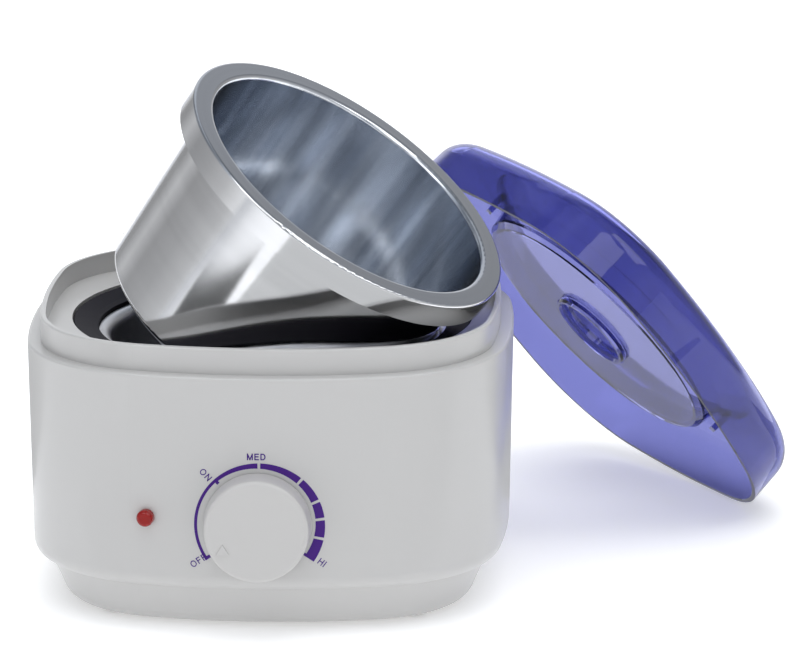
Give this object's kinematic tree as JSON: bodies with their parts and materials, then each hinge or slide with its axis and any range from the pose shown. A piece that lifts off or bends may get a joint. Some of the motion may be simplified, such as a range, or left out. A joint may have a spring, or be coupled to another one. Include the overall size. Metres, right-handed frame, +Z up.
{
  "type": "wax warmer pot",
  "caption": "Counter-top wax warmer: rounded square housing with a heated well, lift-out metal pot, clear lift-off lid, thermostat knob and pilot lamp.",
  "frame": {"origin": "on the standing surface under the middle of the housing, at the underside of the base's standing rim", "axes": "+Z up; -Y is the front, with the knob and the lamp; +X is to the right seen from the front"},
  "size_m": [0.2917, 0.2917, 0.1972],
  "materials": {
    "white_housing": "glossy",
    "rubber": "matte",
    "steel": "satin",
    "black_ring": "glossy",
    "bowl_aluminium": "satin",
    "ceramic": "matte",
    "mica": "matte",
    "glass_fibre": "matte",
    "white_knob": "glossy",
    "red_lens": "glossy",
    "lamp_glass": "clear",
    "cream_plastic": "matte",
    "brass": "satin",
    "black_rubber": "matte",
    "live_wire": "matte",
    "neutral_wire": "matte",
    "thin_wire": "matte",
    "pot_aluminium": "polished",
    "clear_lid": "clear violet, glossy"
  },
  "bodies": {
    "warmer": {"outer_shell": "white_housing", "base_cover": "white_housing", "rubber_feet": "rubber", "base_screws": "steel", "insulating_ring": "black_ring", "ring_retainer": "steel", "heating_bowl": "bowl_aluminium", "bowl_spacer": "ceramic", "bowl_strap": "steel", "strap_screws": "steel", "heating_band": "mica", "insulation_wrap": "glass_fibre", "band_bolt": "steel", "band_nut": "steel", "thermostat_body": "ceramic", "thermostat_nut": "steel", "indicator_lens": "red_lens", "lens_clip": "steel", "neon_lamp": "lamp_glass", "thermal_fuse": "steel", "fuse_clip": "steel", "terminal_block": "cream_plastic", "terminal_screws": "brass", "cord_bush": "black_rubber", "thermostat_lead": "live_wire", "heater_lead": "live_wire", "fuse_lead": "neutral_wire", "neutral_lead": "neutral_wire", "lamp_leads": "thin_wire"},
    "knob": {"control_knob": "white_knob", "thermostat_shaft": "steel"},
    "pot": {"wax_pot": "pot_aluminium"},
    "lid": {"lid": "clear_lid"}
  },
  "joints": [
    {"name": "knob_turn", "type": "hinge", "parent": "warmer", "child": "knob", "pos_m": [0, -0.0893, 0.0445], "axis": [0, 1, 0], "range_deg": [0, 252]},
    {"name": "pot_lift", "type": "slide", "parent": "warmer", "child": "pot", "axis": [0, 0, 1], "range_m": [0, 0.13]},
    {"name": "lid_lift", "type": "slide", "parent": "warmer", "child": "lid", "axis": [0, 0, 1], "range_m": [0, 0.15]}
  ]
}
